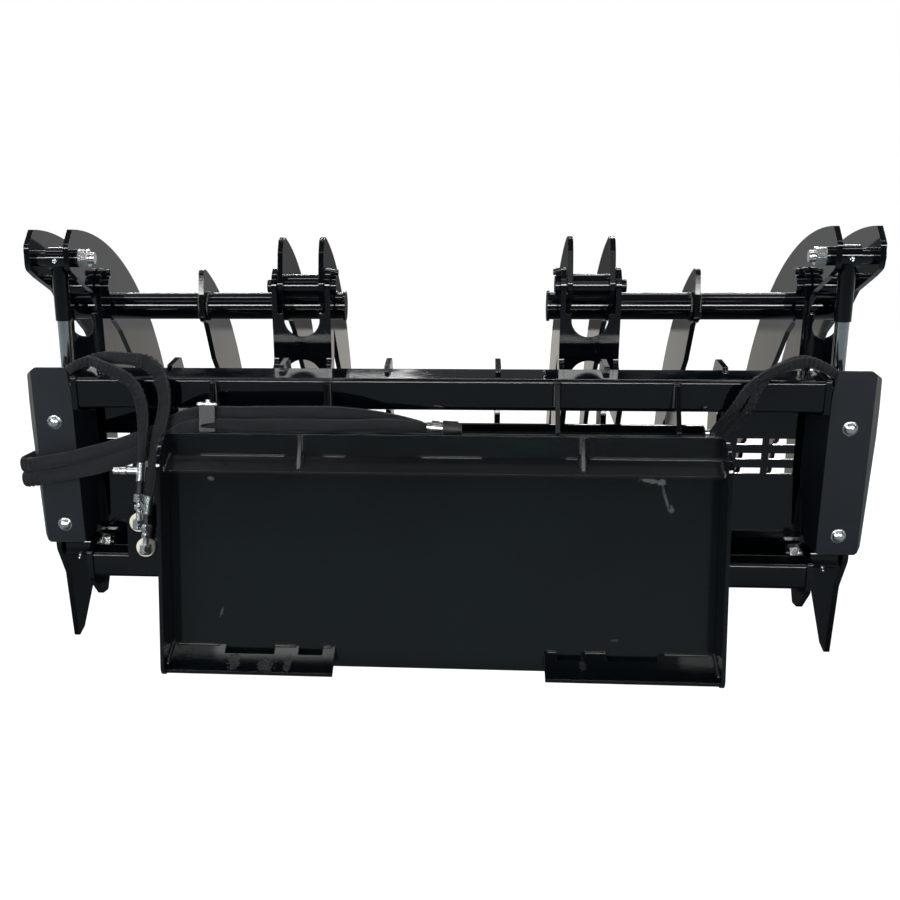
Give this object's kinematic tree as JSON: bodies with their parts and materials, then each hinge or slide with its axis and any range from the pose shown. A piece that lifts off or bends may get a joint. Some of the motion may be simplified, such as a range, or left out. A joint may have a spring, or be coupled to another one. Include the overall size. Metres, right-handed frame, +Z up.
{
  "type": "root rake grapple",
  "caption": "Skid-steer root rake grapple: curved rake tines on a welded frame with a loader plate, and two arms closed by their own hydraulic cylinders.",
  "frame": {"origin": "middle of the footprint of the steel parts, on the ground", "axes": "+X to the right as the loader's driver sees it, +Y forward to the tine tips, +Z up; the row mirrors about the plane X = 0"},
  "size_m": [1.9087, 1.1227, 0.973],
  "materials": {
    "black": "gloss powder coat",
    "guard": "satin powder coat",
    "chrome": "polished chrome plate",
    "zinc": "bright zinc plate",
    "hose": "woven nylon sleeve"
  },
  "bodies": {
    "frame": {"loader_plate": "black", "loader_side_flanges": "black", "loader_top_hook": "black", "loader_hook_gussets": "black", "loader_bottom_ledges": "black", "top_cross_tube": "black", "lower_cross_tube": "black", "round_cross_pipe": "black", "tube_braces": "black", "lower_tine_1": "black", "lower_tine_2": "black", "lower_tine_3": "black", "lower_tine_4": "black", "lower_tine_5": "black", "lower_tine_6": "black", "pivot_webs": "black", "pocket_webs": "black", "pivot_pins": "black", "pivot_pin_keepers": "black", "cylinder_base_pins": "black", "cylinder_base_nuts": "black", "guard_straps": "black", "guard_bolts": "zinc", "side_panels": "black", "cylinder_guards": "guard", "hose_bracket": "black", "hose_fittings": "zinc", "hose_left_front": "hose", "hose_left_rear": "hose", "hose_right_front": "hose", "hose_right_rear": "hose", "hose_supply_lower": "hose", "hose_supply_upper": "hose", "quick_couplers": "zinc", "side_plate_outer_left": "black", "side_plate_inner_left": "black", "pivot_ears_left": "black", "side_plate_outer_right": "black", "side_plate_inner_right": "black", "pivot_ears_right": "black"},
    "arm_left": {"arm_pipe_left": "black", "arm_pivot_bosses_left": "black", "arm_inner_tines_left": "black", "arm_middle_tine_left": "black", "arm_outer_tines_left": "black", "rod_pin_left": "black", "rod_pin_nut_left": "zinc"},
    "rod_left": {"cylinder_rod_left": "chrome", "rod_end_left": "black"},
    "barrel_left": {"cylinder_barrel_left": "black"},
    "arm_right": {"arm_pipe_right": "black", "arm_pivot_bosses_right": "black", "arm_inner_tines_right": "black", "arm_middle_tine_right": "black", "arm_outer_tines_right": "black", "rod_pin_right": "black", "rod_pin_nut_right": "zinc"},
    "rod_right": {"cylinder_rod_right": "chrome", "rod_end_right": "black"},
    "barrel_right": {"cylinder_barrel_right": "black"}
  },
  "joints": [
    {"name": "arm_hinge_left", "type": "hinge", "parent": "frame", "child": "arm_left", "pos_m": [-0.6, -0.17647, 0.84987], "axis": [1, 0, 0], "range_deg": [-8, 50]},
    {"name": "rod_hinge_left", "type": "hinge", "parent": "arm_left", "child": "rod_left", "pos_m": [-0.8505, -0.34667, 0.90954], "axis": [1, 0, 0], "range_deg": [-48.2, 8]},
    {"name": "cylinder_slide_left", "type": "slide", "parent": "rod_left", "child": "barrel_left", "axis": [0, -0.1533, 0.9882], "range_m": [-0.025, 0.1511]},
    {"name": "arm_hinge_right", "type": "hinge", "parent": "frame", "child": "arm_right", "pos_m": [0.6, -0.17647, 0.84987], "axis": [1, 0, 0], "range_deg": [-8, 50]},
    {"name": "rod_hinge_right", "type": "hinge", "parent": "arm_right", "child": "rod_right", "pos_m": [0.8505, -0.34667, 0.90954], "axis": [1, 0, 0], "range_deg": [-48.2, 8]},
    {"name": "cylinder_slide_right", "type": "slide", "parent": "rod_right", "child": "barrel_right", "axis": [0, -0.1533, 0.9882], "range_m": [-0.025, 0.1511]}
  ],
  "couplings": [
    {"joint": "rod_hinge_left", "follows": "arm_hinge_left", "ratio": -0.958},
    {"joint": "cylinder_slide_left", "follows": "arm_hinge_left", "m_per_rad": 0.172},
    {"joint": "rod_hinge_right", "follows": "arm_hinge_right", "ratio": -0.958},
    {"joint": "cylinder_slide_right", "follows": "arm_hinge_right", "m_per_rad": 0.172}
  ]
}
